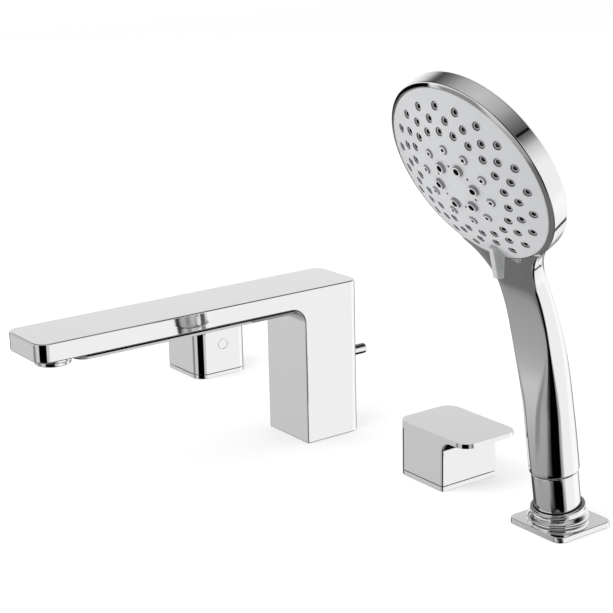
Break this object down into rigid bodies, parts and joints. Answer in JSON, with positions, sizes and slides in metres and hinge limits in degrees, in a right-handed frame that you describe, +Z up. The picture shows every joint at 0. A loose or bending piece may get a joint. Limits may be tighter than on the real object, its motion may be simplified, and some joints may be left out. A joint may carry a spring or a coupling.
{
  "type": "deck-mounted bath filler",
  "caption": "Bath filler for a tub deck: flat right-angled spout with a pull-out diverter, two square lever handles and a hand shower standing in a deck holder.",
  "frame": {"origin": "centre of the spout's column on the deck plane, where its shank enters the deck", "axes": "+X from the hot lever past the spout to the hand shower, -Y the way the spout reaches over the tub, +Z up from the deck"},
  "size_m": [0.5269, 0.2859, 0.3985],
  "materials": {
    "chromed_brass": "polished chrome plate",
    "chromed_abs": "polished chrome plate on ABS",
    "bare_brass": "turned, unplated",
    "stainless_steel": "brushed",
    "black_rubber": "matt",
    "moulded_nylon": "moulded, satin",
    "grey_abs": "moulded, satin",
    "grey_silicone": "soft, satin",
    "clear_grey_acrylic": "translucent, polished"
  },
  "bodies": {
    "base": {"aerator_housing": "chromed_brass", "aerator_screen": "moulded_nylon", "aerator_washer": "black_rubber", "cold_cartridge": "bare_brass", "cold_clamp_washer": "stainless_steel", "cold_escutcheon": "chromed_brass", "cold_gasket": "black_rubber", "cold_lock_nut": "bare_brass", "cold_rubber_washer": "black_rubber", "cold_valve_body": "bare_brass", "diverter_bush": "chromed_brass", "diverter_sleeve": "bare_brass", "diverter_tube": "stainless_steel", "holder_clamp_washer": "stainless_steel", "holder_cup": "chromed_brass", "holder_gasket": "black_rubber", "holder_liner": "moulded_nylon", "holder_lock_nut": "bare_brass", "holder_plate": "chromed_brass", "holder_rubber_washer": "black_rubber", "holder_shank": "bare_brass", "hot_cartridge": "bare_brass", "hot_clamp_washer": "stainless_steel", "hot_escutcheon": "chromed_brass", "hot_gasket": "black_rubber", "hot_lock_nut": "bare_brass", "hot_rubber_washer": "black_rubber", "hot_valve_body": "bare_brass", "spout_base_gasket": "black_rubber", "spout_body": "chromed_brass", "spout_clamp_washer": "stainless_steel", "spout_foot": "bare_brass", "spout_lock_nut": "bare_brass", "spout_manifold": "bare_brass", "spout_rubber_washer": "black_rubber", "spout_shank": "bare_brass"},
    "diverter": {"diverter_knob": "chromed_brass", "diverter_rod": "stainless_steel", "diverter_piston": "black_rubber"},
    "hot_lever": {"hot_handle": "chromed_brass", "hot_index_cap": "chromed_brass", "hot_grub_screw": "stainless_steel", "hot_spindle": "bare_brass"},
    "cold_lever": {"cold_handle": "chromed_brass", "cold_index_cap": "chromed_brass", "cold_grub_screw": "stainless_steel", "cold_spindle": "bare_brass"},
    "hose_end": {"hose_cone": "chromed_brass", "hose_nipple": "bare_brass", "hose_washer": "black_rubber"},
    "handset": {"handset_shell": "chromed_abs", "handset_inlet": "bare_brass", "head_hub": "moulded_nylon"},
    "spray_selector": {"spray_plate": "grey_abs", "selector_tab": "clear_grey_acrylic", "spray_nozzles": "grey_silicone", "mist_nozzles": "grey_silicone", "massage_nozzles": "grey_silicone"}
  },
  "joints": [
    {"name": "diverter_pull", "type": "slide", "parent": "base", "child": "diverter", "axis": [0, 1, 0], "range_m": [0, 0.01]},
    {"name": "hot_lever_turn", "type": "hinge", "parent": "base", "child": "hot_lever", "pos_m": [-0.1763, 0.016, 0.02], "axis": [0, 0, 1], "range_deg": [0, 90]},
    {"name": "cold_lever_turn", "type": "hinge", "parent": "base", "child": "cold_lever", "pos_m": [0.1326, 0.016, 0.02], "axis": [0, 0, 1], "range_deg": [-90, 0]},
    {"name": "handset_lift", "type": "slide", "parent": "base", "child": "hose_end", "axis": [0, -0.1426, 0.9898], "range_m": [0, 0.12]},
    {"name": "handset_swivel", "type": "hinge", "parent": "hose_end", "child": "handset", "pos_m": [0.2417, 0.017, 0.0038], "axis": [0, -0.1426, 0.9898], "continuous": true},
    {"name": "spray_select", "type": "hinge", "parent": "handset", "child": "spray_selector", "pos_m": [0.2417, -0.05975, 0.23763], "axis": [0, -0.8878, -0.4602], "range_deg": [-24, 24]}
  ]
}
